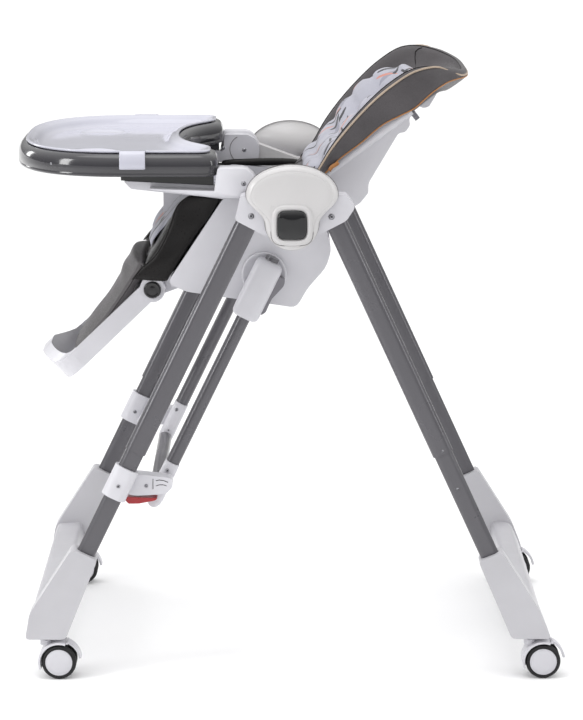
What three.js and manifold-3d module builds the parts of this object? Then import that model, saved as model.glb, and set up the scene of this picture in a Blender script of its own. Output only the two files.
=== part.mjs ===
// Folding baby high chair: reclining padded seat, sliding tray, tilting footrest, telescoping legs.
// Millimetres. +X is the child's left, -Y the way the child faces, +Z up. The floor is Z = 0.
import * as THREE from 'three';
import * as BufferGeometryUtils from 'three/addons/utils/BufferGeometryUtils.js';
import Module from 'manifold-3d';

const wasm = await Module();
wasm.setup();

// Driving dimensions.
const CENTRE_SHIFT = 2.2; // moves the hub axis so that the whole chair is centred on Y = 0
const HUB_Z = 700; // height of the fold axis
const SLIDE_GAP = 0.3; // gap between faces that meet
const LEG_X = 255; // leg plane, each side
const LEG_WIDTH = 32; // leg tube, seen from the side
const LEG_THICKNESS = 20; // leg tube, across
const LEG_WALL = 1.5;
const SOCKET_WIDTH = LEG_WIDTH - 2 * LEG_WALL - 0.2;
const SOCKET_THICKNESS = LEG_THICKNESS - 2 * LEG_WALL - 0.2;
const FRONT_LEAN = 25.9; // degrees from the vertical
const REAR_LEAN = 24.7;
const FRONT_LEG_TOP = [-60.7, 710]; // a point on each leg's axis, beside the hub
const REAR_LEG_TOP = [60, 710];
const SEAM = -398; // lower end of the upper tubes, along the leg
const SOCKET_END = -628; // lower end of the lower tubes
const LOWER_TUBE_TOP = -240;
const STRUT_X = 205;
const STRUT_OFFSET = 61; // strut axis behind the front leg axis
const STRUT_RADIUS = 10.5;
const STRUT_TOP = -50;
const STRUT_PIVOT = -428.4;
const CROSS_TUBE = -463.8;
const FOOT_BOTTOM = 63;
const FRONT_STEM_Y = -373.5;
const REAR_STEM_Y = 361.5;
const WHEEL_RADIUS = 26.5;
const CASTER_TRAIL = 20;
const SEAT_HALF = 188; // half the width of the seat tub
const ARM_PIVOT = [-73, 748];
const TRAY_HALF = 240;
const TRAY_TOP = 800;
const TRAY_BOTTOM = 763;
const TRAY_FRONT = -420;
const TRAY_REAR = -109;
const TRAY_POWER = 0.74; // 1 gives an ellipse, and less a squarer front
const HOOD_POWER = 0.54; // the same for the hood's top
const FOOTREST_PIVOT = [-212.4, 574.8];
const FOOTREST_HALF = 120;
const FOOTREST_TOP = 15.5; // top of its side walls, above the pivot's plane
const FOOTREST_TILT = 44; // degrees that the footrest hangs below the horizontal
const RECLINE_TILT = 36.7; // slope of the back's rear face above the horizontal
const BACK_START = [45, 745]; // lower end of the back's rear face

// Materials: [colour, roughness, metalness].
const WHITE = [0xe3e2e7, 0.38, 0];
const LEG_GREY = [0x737176, 0.42, 0.35];
const DARK_LEATHER = [0x4a4648, 0.55, 0];
const GREY_LEATHER = [0x6b686c, 0.55, 0];
const PRINT = [0xd9d9df, 0.85, 0];
const BLACK = [0x17171a, 0.25, 0];
const TRAY_GREY = [0x5b595f, 0.2, 0];
const TRAY_WHITE = [0xe4e4f0, 0.12, 0];
const TRIGGER_GREY = [0x8b898f, 0.45, 0];
const RED = [0xb5121b, 0.35, 0];

const chair = new THREE.Group();
chair.position.y = CENTRE_SHIFT;

function add(name, geometry, finish, parent = chair) {
  const [color, roughness, metalness] = finish;
  const mesh = new THREE.Mesh(geometry, new THREE.MeshStandardMaterial({ color, roughness, metalness }));
  mesh.name = name;
  parent.add(mesh);
  return mesh;
}

// Solids: booleans on closed geometries.
function solid(geometry) {
  const bare = geometry.clone();
  bare.deleteAttribute('normal');
  bare.deleteAttribute('uv');
  const merged = BufferGeometryUtils.mergeVertices(bare, 1e-4);
  const vertProperties = new Float32Array(merged.attributes.position.array);
  const triVerts = new Uint32Array(merged.index.array);
  return new wasm.Manifold(new wasm.Mesh({ numProp: 3, vertProperties, triVerts }));
}

function toGeometry(manifold) {
  const mesh = manifold.asOriginal().getMesh();
  const geometry = new THREE.BufferGeometry();
  geometry.setAttribute('position', new THREE.BufferAttribute(mesh.vertProperties, 3));
  geometry.setIndex(new THREE.BufferAttribute(mesh.triVerts, 1));
  geometry.computeVertexNormals();
  return geometry;
}

function join(...geometries) {
  return toGeometry(geometries.map(solid).reduce((whole, piece) => whole.add(piece)));
}

function cut(geometry, ...tools) {
  return toGeometry(tools.map(solid).reduce((whole, tool) => whole.subtract(tool), solid(geometry)));
}

function common(a, b) {
  return toGeometry(solid(a).intersect(solid(b)));
}

// Outlines. A polygon's corners are rounded by the given radius.
function outline(points, radius = 0) {
  const corners = points.map(([a, b]) => new THREE.Vector2(a, b));
  const shape = new THREE.Shape();
  corners.forEach((corner, i) => {
    const before = corners[(i + corners.length - 1) % corners.length];
    const after = corners[(i + 1) % corners.length];
    const reach = Math.min(radius, corner.distanceTo(before) / 2.1, corner.distanceTo(after) / 2.1);
    const start = corner.clone().lerp(before, reach / corner.distanceTo(before));
    const end = corner.clone().lerp(after, reach / corner.distanceTo(after));
    if (i === 0) shape.moveTo(start.x, start.y);
    else shape.lineTo(start.x, start.y);
    if (radius > 0) shape.quadraticCurveTo(corner.x, corner.y, end.x, end.y);
  });
  return shape;
}

// The outline around two circles, [a, b, radius] each: a plate with round ends.
function linkOutline([a1, b1, r1], [a2, b2, r2]) {
  const along = Math.atan2(b2 - b1, a2 - a1);
  const spread = Math.acos((r1 - r2) / Math.hypot(a2 - a1, b2 - b1));
  const shape = new THREE.Shape();
  shape.absarc(a1, b1, r1, along + spread, along - spread + 2 * Math.PI, false);
  shape.absarc(a2, b2, r2, along - spread, along + spread, false);
  return shape;
}

function ringSector([a, b], inner, outer, from, to) {
  const start = THREE.MathUtils.degToRad(from);
  const end = THREE.MathUtils.degToRad(to);
  const shape = new THREE.Shape();
  shape.absarc(a, b, outer, start, end, false);
  shape.absarc(a, b, inner, end, start, true);
  return shape;
}

// Side plate: an outline in (Y, Z), extruded along X between two planes.
function plate(shape, x0, x1, curveSegments = 3) {
  const low = Math.min(x0, x1);
  const depth = Math.abs(x1 - x0);
  const geometry = new THREE.ExtrudeGeometry(shape, { depth, bevelEnabled: false, curveSegments });
  const sideways = new THREE.Matrix4().makeBasis(
    new THREE.Vector3(0, 1, 0),
    new THREE.Vector3(0, 0, 1),
    new THREE.Vector3(1, 0, 0),
  );
  return geometry.applyMatrix4(sideways).translate(low, 0, 0);
}

// Level plate: an outline in (X, Y), extruded upwards.
function level(shape, z0, z1, curveSegments = 7) {
  const geometry = new THREE.ExtrudeGeometry(shape, { depth: z1 - z0, bevelEnabled: false, curveSegments });
  return geometry.translate(0, 0, z0);
}

// Upright plate: an outline in (X, Z), extruded along Y.
function upright(shape, y0, y1, curveSegments = 5) {
  const geometry = new THREE.ExtrudeGeometry(shape, { depth: y1 - y0, bevelEnabled: false, curveSegments });
  return geometry.rotateX(Math.PI / 2).translate(0, y1, 0);
}

function crossPin(radius, x0, x1, y, z, sides = 16) {
  const geometry = new THREE.CylinderGeometry(radius, radius, Math.abs(x1 - x0), sides);
  return geometry.rotateZ(Math.PI / 2).translate((x0 + x1) / 2, y, z);
}

function uprightPin(radius, z0, z1, x, y, sides = 16) {
  const geometry = new THREE.CylinderGeometry(radius, radius, z1 - z0, sides);
  return geometry.rotateX(Math.PI / 2).translate(x, y, (z0 + z1) / 2);
}

function box(x0, x1, y0, y1, z0, z1) {
  const geometry = new THREE.BoxGeometry(Math.abs(x1 - x0), y1 - y0, z1 - z0);
  return geometry.translate((x0 + x1) / 2, (y0 + y1) / 2, (z0 + z1) / 2);
}

function ovalBar(width, thickness, z0, z1, x, y) {
  const half = thickness / 2;
  const shape = linkOutline([0, width / 2 - half, half], [0, half - width / 2, half]);
  return level(shape, z0, z1, 5).translate(x, y, 0);
}

// A leg's own frame: the origin beside the hub, +Z up along the leg, Y across it.
function legFrame([y, z], lean) {
  const frame = new THREE.Group();
  frame.position.set(0, y, z);
  frame.rotation.x = THREE.MathUtils.degToRad(lean);
  frame.updateMatrix();
  return frame;
}

const frontLeg = legFrame(FRONT_LEG_TOP, -FRONT_LEAN);
const rearLeg = legFrame(REAR_LEG_TOP, REAR_LEAN);
chair.add(frontLeg, rearLeg);

const SIDES = [['left', 1], ['right', -1]];

// Ears under the front of the tub carry the footrest.
function footrestEar(s, radius, inner, outer) {
  return plate(linkOutline([...FOOTREST_PIVOT, radius], [-163, 593, radius]), s * inner, s * outer);
}

function seatTub() {
  const side = outline(
    [
      [-100, 728], [-187, 596], [-160, 583], [7, 558], [24, 588], [52, 620], [60, 648], [52, 674],
      [42, 700], [26, 716],
    ],
    10,
  );
  const bowl = outline(
    [
      [-210, 705], [-120, 672], [-20, 640], [28, 642], [90, 668], [120, 840], [-210, 840],
    ],
    8,
  );
  const underside = outline(
    [
      [-172, 540], [-152, 594], [-118, 664], [-22, 632], [20, 634], [42, 628], [14, 594], [2, 540],
    ],
  );
  const ears = SIDES.map(([, s]) => footrestEar(s, 14, 95, 109.5));
  const pinHoles = crossPin(5.3, -115, 115, ...FOOTREST_PIVOT);
  const hollows = [plate(bowl, -172, 172), plate(underside, -150, 150), pinHoles];
  return cut(join(plate(side, -SEAT_HALF, SEAT_HALF), ...ears), ...hollows);
}

function crotchPost() {
  return plate(outline(
    [
      [-199, 735], [-174, 735], [-168, 690], [-150, 676], [-157, 662], [-199, 648],
    ],
    5,
  ), -13, 13);
}

// Seat pad: a slab in the tub, a drop over its front edge and two side cheeks, slotted for the crotch post.
function seatPad() {
  const slab = outline(
    [
      [-142, 681.5], [-120, 673], [-20, 641], [0, 642], [-6, 664], [-20, 668], [-112, 702],
      [-142, 706],
    ],
    4,
  );
  const drop = outline(
    [
      [-141, 676.5], [-141, 706], [-165, 703], [-182, 686], [-205, 645], [-224, 615], [-205, 611],
      [-186, 598.5],
    ],
    5,
  );
  const cheek = outline(
    [
      [-103, 724.5], [-108, 729], [-150, 730], [-182, 686], [-205, 645], [-224, 615], [-205, 611],
      [-186, 598.5],
    ],
    5,
  );
  const cheeks = SIDES.map(([, s]) => plate(cheek, s * 152, s * 187));
  const slot = box(-14, 14, -240, -147, 640, 760);
  const whole = join(plate(slab, -168, 168), plate(drop, -187, 187), ...cheeks);
  const earRooms = SIDES.map(([, s]) => footrestEar(s, 15, 94, 110.5));
  return cut(whole, slot, ...earRooms);
}

function seatLiner() {
  const top = outline([[-112, 702.6], [-20, 668.6], [-8, 664.6], [-12, 676], [-60, 702], [-112, 720]], 5);
  const sheet = plate(top, -148, 148);
  return cut(sheet, box(-14, 14, -240, -147, 600, 760));
}

add('seat_tub', seatTub(), WHITE);
add('crotch_post', crotchPost(), WHITE);
add('seat_pad', seatPad(), DARK_LEATHER);
add('seat_liner', seatLiner(), PRINT);

// Hubs: a core beside the tub carries the leg brackets and the arm, and a cap closes it.
function hubCore(s) {
  const web = linkOutline([0, HUB_Z, 34], [...ARM_PIVOT, 14]);
  return join(
    crossPin(14, s * (SEAT_HALF + SLIDE_GAP), s * 272, 0, HUB_Z, 20),
    plate(web, s * 212, s * 236, 8),
    crossPin(6, s * 199, s * 213, ...ARM_PIVOT),
  );
}

function squareOutline(half, radius) {
  return outline(
    [
      [-half, HUB_Z - half], [half, HUB_Z - half], [half, HUB_Z + half], [-half, HUB_Z + half],
    ],
    radius,
  );
}

// The cap's face: a wide dome above, narrowing to a round end below the hub axis.
function capOutline(inset) {
  const round = 39 - inset;
  const wide = 67 - inset;
  const shape = new THREE.Shape();
  shape.absarc(0, HUB_Z, round, Math.PI, 2 * Math.PI, false);
  shape.bezierCurveTo(round + 3, HUB_Z + 18, wide, 726, wide, 742);
  shape.absellipse(0, 742, wide, 44 - inset, 0, Math.PI, false, 0);
  shape.bezierCurveTo(-wide, 726, -round - 3, HUB_Z + 18, -round, HUB_Z);
  return shape;
}

function hub(s) {
  const body = join(
    hubCore(s),
    plate(capOutline(0), s * 270.5, s * 282, 9),
    plate(capOutline(6), s * 281, s * 288, 9),
    plate(squareOutline(28, 12), s * 281, s * 291.5, 4),
  );
  return cut(body, plate(squareOutline(23.3, 9), s * 277, s * 300));
}

for (const [side, s] of SIDES) {
  add(`hub_${side}`, hub(s), WHITE);
  add(`hub_button_${side}`, plate(squareOutline(22.6, 8), s * 282, s * 295), BLACK);
}

// Leg brackets turn on the hub core: the front ones outside, the rear ones inside.
function legBracket(s, frame, sleeve, arm, inner, outer) {
  const tube = ovalBar(LEG_WIDTH + 0.8, LEG_THICKNESS + 0.8, -90, 22.6, s * LEG_X, 0);
  tube.applyMatrix4(frame.matrix);
  const body = join(
    plate(sleeve, s * 240.5, s * 269.5),
    plate(arm, s * inner, s * outer),
    crossPin(26, s * inner, s * outer, 0, HUB_Z, 20),
  );
  return cut(body, tube, crossPin(14.4, s * 230, s * 280, 0, HUB_Z, 20));
}

function upperTube(s, frame) {
  const bore = ovalBar(LEG_WIDTH - 2 * LEG_WALL, LEG_THICKNESS - 2 * LEG_WALL, SEAM - 10, 16, s * LEG_X, 0);
  return cut(ovalBar(LEG_WIDTH, LEG_THICKNESS, SEAM, 22, s * LEG_X, 0), bore);
}

function lowerTube(s) {
  const width = LEG_WIDTH - 2 * LEG_WALL - 0.8;
  const thickness = LEG_THICKNESS - 2 * LEG_WALL - 0.8;
  return ovalBar(width, thickness, SOCKET_END, LOWER_TUBE_TOP, s * LEG_X, 0);
}

const frontSleeve = outline([[-84, 704], [-40, 681], [-28, 696], [-32, 724], [-52, 741], [-75, 741]], 5);
const frontArm = outline([[-52, 686], [-30, 679], [0, 674], [0, 726], [-30, 733], [-52, 733]]);
const rearSleeve = outline([[36, 680], [80, 703], [93, 723], [80, 742], [52, 741], [30, 722]], 5);
const rearArm = outline([[52, 688], [30, 679], [0, 674], [0, 726], [30, 733], [52, 733]].reverse());

for (const [side, s] of SIDES) {
  add(`front_bracket_${side}`, legBracket(s, frontLeg, frontSleeve, frontArm, 256, 269.5), WHITE);
  add(`rear_bracket_${side}`, legBracket(s, rearLeg, rearSleeve, rearArm, 240.5, 254.5), WHITE);
  for (const [end, frame] of [['front', frontLeg], ['rear', rearLeg]]) {
    add(`${end}_upper_tube_${side}`, upperTube(s, frame), LEG_GREY, frame);
    add(`${end}_lower_tube_${side}`, lowerTube(s), LEG_GREY, frame);
  }
}

// Feet: each pair and its cross bar is one U-shaped moulding with sockets for the tubes and the caster stems.
function feet(frame, footOutline, barOutline, channel, stemY) {
  const tubes = SIDES.map(([, s]) => {
    const socket = ovalBar(SOCKET_WIDTH, SOCKET_THICKNESS, SOCKET_END - 0.3, 0, s * LEG_X, 0);
    return socket.applyMatrix4(frame.matrix);
  });
  const stems = SIDES.map(([, s]) => uprightPin(5.4, FOOT_BOTTOM - 5, 96, s * LEG_X, stemY, 12));
  const posts = SIDES.map(([, s]) => plate(footOutline, s * 237, s * 272));
  return cut(join(plate(barOutline, -240, 240), ...posts), plate(channel, -228, 228), ...tubes, ...stems);
}

const frontFoot = outline(
  [
    [-404, FOOT_BOTTOM], [-397, 103], [-331, 205], [-293, 187], [-343, FOOT_BOTTOM],
  ],
  7,
);
const frontBar = outline([[-401, 69], [-393, 108], [-352, 110], [-348, 69]], 8);
const rearFoot = outline([[333, FOOT_BOTTOM], [281, 184], [317, 199], [376, 106], [393, FOOT_BOTTOM]], 7);
const rearBar = outline([[337, 69], [341, 110], [372, 108], [389, 69]], 8);
const frontChannel = outline([[-396, 60], [-389, 104], [-356, 105], [-352, 60]]);
const rearChannel = outline([[341, 60], [345, 105], [368, 104], [384, 60]]);
add('front_feet', feet(frontLeg, frontFoot, frontBar, frontChannel, FRONT_STEM_Y), WHITE);
add('rear_feet', feet(rearLeg, rearFoot, rearBar, rearChannel, REAR_STEM_Y), WHITE);

// Collars on the front lower tubes, each with a link that holds the strut's lower pivot.
function collarLink(s) {
  const sleeve = ovalBar(LEG_WIDTH + 6, LEG_THICKNESS + 8, -476, -426, s * LEG_X, 0);
  const socket = ovalBar(SOCKET_WIDTH, SOCKET_THICKNESS, -490, -410, s * LEG_X, 0);
  const link = outline([[8, -468], [14, -432], [66, -414], [75, -424], [70, -440], [30, -462]], 5);
  const pin = crossPin(5, s * 192, s * 222, STRUT_OFFSET, STRUT_PIVOT);
  return cut(join(sleeve, plate(link, s * 221, s * 247), pin), socket);
}

function strutFitting(s) {
  const body = linkOutline([STRUT_OFFSET, -400, 13], [STRUT_OFFSET, CROSS_TUBE, 13]);
  const holes = [
    crossPin(5.3, s * 180, s * 230, STRUT_OFFSET, STRUT_PIVOT),
    crossPin(11.3, s * 190, s * 210, STRUT_OFFSET, CROSS_TUBE, 24),
    uprightPin(STRUT_RADIUS + 0.3, -413, -380, s * STRUT_X, STRUT_OFFSET, 24),
  ];
  const [back, front] = [STRUT_OFFSET - 13, STRUT_OFFSET + 13];
  const mouth = outline([[back, -404], [front, -404], [front, -387], [back, -387]], 2);
  const shape = join(plate(body, s * 190.5, s * 219.5, 8), plate(mouth, s * 190.5, s * 219.5, 8));
  return cut(shape, ...holes);
}

for (const [side, s] of SIDES) {
  add(`collar_link_${side}`, collarLink(s), WHITE, frontLeg);
  const strutTube = uprightPin(STRUT_RADIUS, -412.5, STRUT_TOP, s * STRUT_X, STRUT_OFFSET, 24);
  add(`strut_tube_${side}`, strutTube, LEG_GREY, frontLeg);
  add(`strut_fitting_${side}`, strutFitting(s), WHITE, frontLeg);
}
add('strut_cross_tube', crossPin(11, -209.5, 209.5, STRUT_OFFSET, CROSS_TUBE, 24), LEG_GREY, frontLeg);

// Fold lock lever under the left link.
function lockLever() {
  const blade = outline([[14, -474], [20, -470], [62, -452], [60, -457], [40, -472], [26, -479]], 2);
  return plate(blade, 223, 243);
}
add('fold_lock_lever', lockLever(), RED, frontLeg);

// Housings slide on the struts. Each has a disc against the seat tub and a sprung trigger at its rear.
function strutHousing(s) {
  const y = STRUT_OFFSET;
  const sleeve = outline(
    [
      [y - 19, -151], [y - 19, -70], [y - 12, -58], [y + 14, -58], [y + 20, -72], [y + 20, -140],
      [y + 12, -151],
    ],
    5,
  );
  const pocket = outline([[y + 13.6, -137], [y + 13.6, -71], [y + 30, -71], [y + 30, -137]]);
  const disc = crossPin(34, s * (SEAT_HALF + 0.5), s * 194, y, -81.5, 28);
  const body = join(plate(sleeve, s * 192, s * 222), disc);
  const strut = uprightPin(STRUT_RADIUS + 0.4, -170, -40, s * STRUT_X, y, 24);
  return cut(body, strut, plate(pocket, s * 197, s * 213));
}

function strutTrigger(s) {
  const y = STRUT_OFFSET;
  const grip = outline(
    [
      [y + 17.5, -136], [y + 17.5, -72], [y + 31, -72], [y + 33, -82], [y + 25, -108], [y + 26, -130],
      [y + 22, -136],
    ],
    4,
  );
  return plate(grip, s * 197.5, s * 212.5);
}

for (const [side, s] of SIDES) {
  add(`strut_housing_${side}`, strutHousing(s), WHITE, frontLeg);
  add(`strut_trigger_${side}`, strutTrigger(s), TRIGGER_GREY, frontLeg);
}

// Casters: a hooded fork on a stem, twin wheels on one axle and a brake lever behind the hood.
function casterFork() {
  const axle = [CASTER_TRAIL, WHEEL_RADIUS];
  const body = join(
    plate(ringSector(axle, 28.3, 31.3, 70, 200), -17.5, 17.5, 7),
    plate(ringSector(axle, 2, 29, 80, 198), -5.2, 5.2, 6),
    crossPin(8, -5.2, 5.2, ...axle, 10),
    uprightPin(9, 51.5, 59.5, 0, 0, 10),
    uprightPin(5, 58, 92, 0, 0, 10),
  );
  return cut(body, crossPin(3.5, -20, 20, ...axle, 8));
}

function wheelPair() {
  const half = [[0, 18], [22, 18], [WHEEL_RADIUS, 15], [WHEEL_RADIUS, 7.5], [24.5, 6.6], [3, 6.6]];
  const profile = [...half.map(([r, x]) => [r, -x]), ...half.reverse()];
  const lathe = new THREE.LatheGeometry(profile.map(([r, x]) => new THREE.Vector2(r, x)), 20);
  return lathe.rotateZ(Math.PI / 2).translate(0, CASTER_TRAIL, WHEEL_RADIUS);
}

function brakeLever() {
  const axle = [CASTER_TRAIL, WHEEL_RADIUS];
  return join(
    plate(ringSector(axle, 30.4, 34, 8, 66), -9, 9, 4),
    plate(ringSector(axle, 30.4, 33, 64, 69), -14, 14, 2),
  );
}

for (const [end, y] of [['front', FRONT_STEM_Y], ['rear', REAR_STEM_Y]]) {
  for (const [side, s] of SIDES) {
    const caster = new THREE.Group();
    caster.position.set(s * LEG_X, y, 0);
    chair.add(caster);
    add(`caster_fork_${end}_${side}`, casterFork(), WHITE, caster);
    add(`caster_wheels_${end}_${side}`, wheelPair(), BLACK, caster);
    add(`brake_lever_${end}_${side}`, brakeLever(), WHITE, caster);
  }
}

// Back: local Z is square to the back's rear face, local Y runs up along it.
const back = new THREE.Group();
back.position.set(0, ...BACK_START);
back.rotation.x = THREE.MathUtils.degToRad(RECLINE_TILT);
chair.add(back);

function backPlan(inset, low) {
  const half = 190 - inset;
  const shape = new THREE.Shape();
  shape.moveTo(-half + 25, low);
  shape.lineTo(half - 25, low);
  shape.quadraticCurveTo(half, 10, half, 70);
  shape.lineTo(half, 165);
  for (let k = 1; k < 24; k += 1) {
    const angle = (Math.PI * k) / 24;
    const x = half * Math.sign(Math.cos(angle)) * Math.abs(Math.cos(angle)) ** HOOD_POWER;
    shape.lineTo(x, 165 + (111 - inset) * Math.sin(angle) ** HOOD_POWER);
  }
  shape.lineTo(-half, 165);
  shape.lineTo(-half, 70);
  shape.quadraticCurveTo(-half, 10, -half + 25, low);
  return shape;
}

function backCushion() {
  const side = outline(
    [
      [-40, 0.3], [-30, 14], [0, 16], [40, 36], [95, 58], [150, 66], [190, 60], [235, 38], [282, 6],
      [282, 0.3],
    ],
    8,
  );
  const outer = common(plate(side, -200, 200), level(backPlan(0, -52), -20, 90));
  return cut(outer, level(backPlan(22, -60), 12, 90));
}

// The liner's plan: narrow at the seat, with rounded shoulders at the top.
function linerPlan(inset) {
  const half = 160 - inset;
  const top = 212 - inset;
  return outline(
    [
      [-128 + inset, -20], [128 - inset, -20], [half, 70], [half, top - 12], [70, top + 3],
      [-70, top + 3], [-half, top - 12], [-half, 70],
    ],
    40,
  );
}

// A padded bowl: its sides rise along the wings.
function backLiner() {
  const side = outline(
    [
      [-20, 12.5], [216, 12.5], [214, 26], [196, 42], [158, 55], [138, 58], [95, 53], [40, 33],
      [0, 26], [-20, 24],
    ],
    6,
  );
  const bowl = common(plate(side, -170, 170), level(linerPlan(0), 0, 70));
  return cut(bowl, level(linerPlan(36), 28, 90));
}

function backShell() {
  const side = outline(
    [
      [-10, -0.6], [175, -0.6], [162, -2.5], [157, -12], [145, -16], [136, -11], [55, -45], [46, -57],
      [26, -62], [-16, -56], [-50, -42], [-66, -40], [-66, -14], [-52, -8],
    ],
    4,
  );
  const hollow = outline([[6, -5], [125, -5], [120, -12], [57, -38], [46, -50], [20, -70], [0, -68]], 3);
  const handleSlot = box(-21, 21, 141, 178, -11, -3.5);
  return cut(plate(side, -150, 150), plate(hollow, -144, 144), handleSlot);
}

add('back_shell', backShell(), WHITE, back);
add('back_cushion', backCushion(), GREY_LEATHER, back);
add('back_liner', backLiner(), PRINT, back);

// Recline handle: a squeeze bar on the back's rear face, near its top. Its tongue slides into the shell.
function reclineHandle() {
  const grip = outline([[182, -2], [222, -2], [218, -8], [194, -18], [186, -15], [182, -8]], 3);
  return join(plate(grip, -55, 55), box(-20, 20, 147.5, 190, -10.5, -4));
}
add('recline_handle', reclineHandle(), WHITE, back);

// Footrest: local Y points back up to the pivot, local Z is square to the calf panel.
const footrest = new THREE.Group();
footrest.position.set(0, ...FOOTREST_PIVOT);
footrest.rotation.x = THREE.MathUtils.degToRad(FOOTREST_TILT);
chair.add(footrest);

// A plan with straight sides and a bowed lower end.
function footrestPlan(half, shoulder, end) {
  const turn = end + (shoulder - end) * 0.35;
  const shape = new THREE.Shape();
  shape.moveTo(-half, 40);
  shape.lineTo(-half, shoulder);
  shape.bezierCurveTo(-half, turn, -half * 0.62, end, 0, end);
  shape.bezierCurveTo(half * 0.62, end, half, turn, half, shoulder);
  shape.lineTo(half, 40);
  return shape;
}

// A shallow tray with a lip that rises towards the middle of its lower end.
function footrestPanel() {
  const plan = footrestPlan(FOOTREST_HALF, -160, -208);
  const lipArch = outline(
    [
      [-121, 2], [121, 2], [121, FOOTREST_TOP], [104, 17], [84, 25], [60, 33], [30, 41],
      [-30, 41], [-60, 33], [-84, 25], [-104, 17], [-121, FOOTREST_TOP],
    ],
    8,
  );
  const walls = common(level(plan, -13, FOOTREST_TOP), box(-130, 130, -215, -5, -20, 30));
  const lip = common(level(plan, 1, 45), upright(lipArch, -215, -150));
  const tray = level(footrestPlan(111, -150, -189), -6, 60);
  const earGap = box(-110.3, 110.3, -20, 30, -30, 30);
  const under = common(level(footrestPlan(112, -152, -200), -20, -9.5), box(-130, 130, -215, -24, -30, 0));
  const rings = SIDES.map(([, s]) => crossPin(19.5, s * 110.3, s * 128, 0, 0, 28));
  const pins = SIDES.map(([, s]) => crossPin(5, s * 97, s * 111, 0, 0));
  const buttons = SIDES.map(([, s]) => crossPin(13.4, s * 118, s * 132, 0, 0, 28));
  return cut(join(cut(join(walls, lip), tray, under, earGap), ...rings, ...pins), ...buttons);
}

function calfPad() {
  const side = outline(
    [
      [-32, -5.5], [-200, -5.5], [-200, 13], [-126, 18], [-84, 23], [-48, 30], [-30, 34],
    ],
    6,
  );
  return common(plate(side, -120, 120), level(footrestPlan(109.8, -149, -186), -10, 60));
}

add('footrest_panel', footrestPanel(), WHITE, footrest);
add('calf_pad', calfPad(), GREY_LEATHER, footrest);
for (const [side, s] of SIDES) {
  add(`footrest_button_${side}`, crossPin(13, s * 122, s * 131.5, 0, 0, 28), BLACK, footrest);
}

// Arms swing up on the hub cores. The tray's runners slide on them.
function arm(s) {
  const side = outline(
    [
      [-51, 736], [-51, 753], [-57, 766], [-69, 773], [-107, 773], [-109, 746.4], [-250, 753.3],
      [-239, 741.5], [-131, 730], [-84, 724], [-60, 727],
    ],
    3,
  );
  return cut(plate(side, s * 192, s * 208), crossPin(6.3, s * 198.6, s * 210, ...ARM_PIVOT));
}

function trayOutline(inset) {
  const half = TRAY_HALF - inset;
  const rear = TRAY_REAR - inset;
  const middle = -230;
  const belly = -162 - inset;
  const lobe = 150 + inset * 0.5;
  const corner = 28 - inset * 0.5;
  const shape = new THREE.Shape();
  shape.moveTo(-half, middle);
  const depth = middle - TRAY_FRONT - inset;
  for (let k = 1; k <= 36; k += 1) {
    const angle = (Math.PI * k) / 36;
    const x = half * Math.sign(-Math.cos(angle)) * Math.abs(Math.cos(angle)) ** TRAY_POWER;
    shape.lineTo(x, middle - depth * Math.sin(angle) ** TRAY_POWER);
  }
  shape.lineTo(half, rear - corner);
  shape.quadraticCurveTo(half, rear, half - corner, rear);
  shape.lineTo(lobe + 26, rear);
  shape.bezierCurveTo(lobe - 14, rear, lobe - 22, belly, 0, belly);
  shape.bezierCurveTo(22 - lobe, belly, 14 - lobe, rear, -lobe - 26, rear);
  shape.lineTo(corner - half, rear);
  shape.quadraticCurveTo(-half, rear, -half, rear - corner);
  return shape;
}

function trayBase() {
  return cut(
    join(level(trayOutline(0), TRAY_BOTTOM, 790), level(trayOutline(7), 789, 796.6)),
    level(trayOutline(18), TRAY_BOTTOM + 4, TRAY_TOP + 10),
  );
}

function trayInsert() {
  const tabs = SIDES.map(([, s]) => join(
    box(s * 222, s * 243.2, -254, -217, 797, TRAY_TOP),
    box(s * 240.4, s * 243.2, -254, -217, 775, TRAY_TOP),
  ));
  return cut(
    join(level(trayOutline(12), 797, TRAY_TOP), level(trayOutline(24), 783, 798), ...tabs),
    level(trayOutline(29), 785.5, TRAY_TOP + 5),
  );
}

const runnerTop = TRAY_BOTTOM - SLIDE_GAP;
const runnerOutline = outline([[-254, 754], [-116, 747.3], [-116, runnerTop], [-254, runnerTop]]);
for (const [side, s] of SIDES) {
  add(`arm_${side}`, arm(s), WHITE);
  add(`tray_runner_${side}`, plate(runnerOutline, s * 193, s * 207), BLACK);
}
add('tray_base', trayBase(), TRAY_GREY);
add('tray_insert', trayInsert(), TRAY_WHITE);

export default chair;
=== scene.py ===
"""Looks of the folding baby high chair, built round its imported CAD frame."""

import math

import bmesh
import bpy
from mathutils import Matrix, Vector
from mathutils.geometry import delaunay_2d_cdt


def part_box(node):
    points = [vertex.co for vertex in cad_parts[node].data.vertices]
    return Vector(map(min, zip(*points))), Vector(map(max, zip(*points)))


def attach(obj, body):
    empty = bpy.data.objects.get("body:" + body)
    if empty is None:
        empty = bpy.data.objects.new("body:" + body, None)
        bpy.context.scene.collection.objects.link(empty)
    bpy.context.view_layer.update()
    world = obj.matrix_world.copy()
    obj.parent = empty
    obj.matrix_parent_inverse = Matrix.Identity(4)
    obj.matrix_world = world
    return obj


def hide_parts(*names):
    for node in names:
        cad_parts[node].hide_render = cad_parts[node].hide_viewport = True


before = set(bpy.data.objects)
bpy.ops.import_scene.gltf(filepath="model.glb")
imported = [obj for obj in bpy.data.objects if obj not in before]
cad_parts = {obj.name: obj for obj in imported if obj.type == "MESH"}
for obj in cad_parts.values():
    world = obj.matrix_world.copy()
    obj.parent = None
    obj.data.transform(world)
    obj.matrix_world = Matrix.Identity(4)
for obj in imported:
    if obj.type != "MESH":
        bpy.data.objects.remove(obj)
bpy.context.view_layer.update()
SIDES = (("left", 1), ("right", -1))
ENDS = ("front", "rear")

# ---------------------------------------------------------------- places, in millimetres

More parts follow.
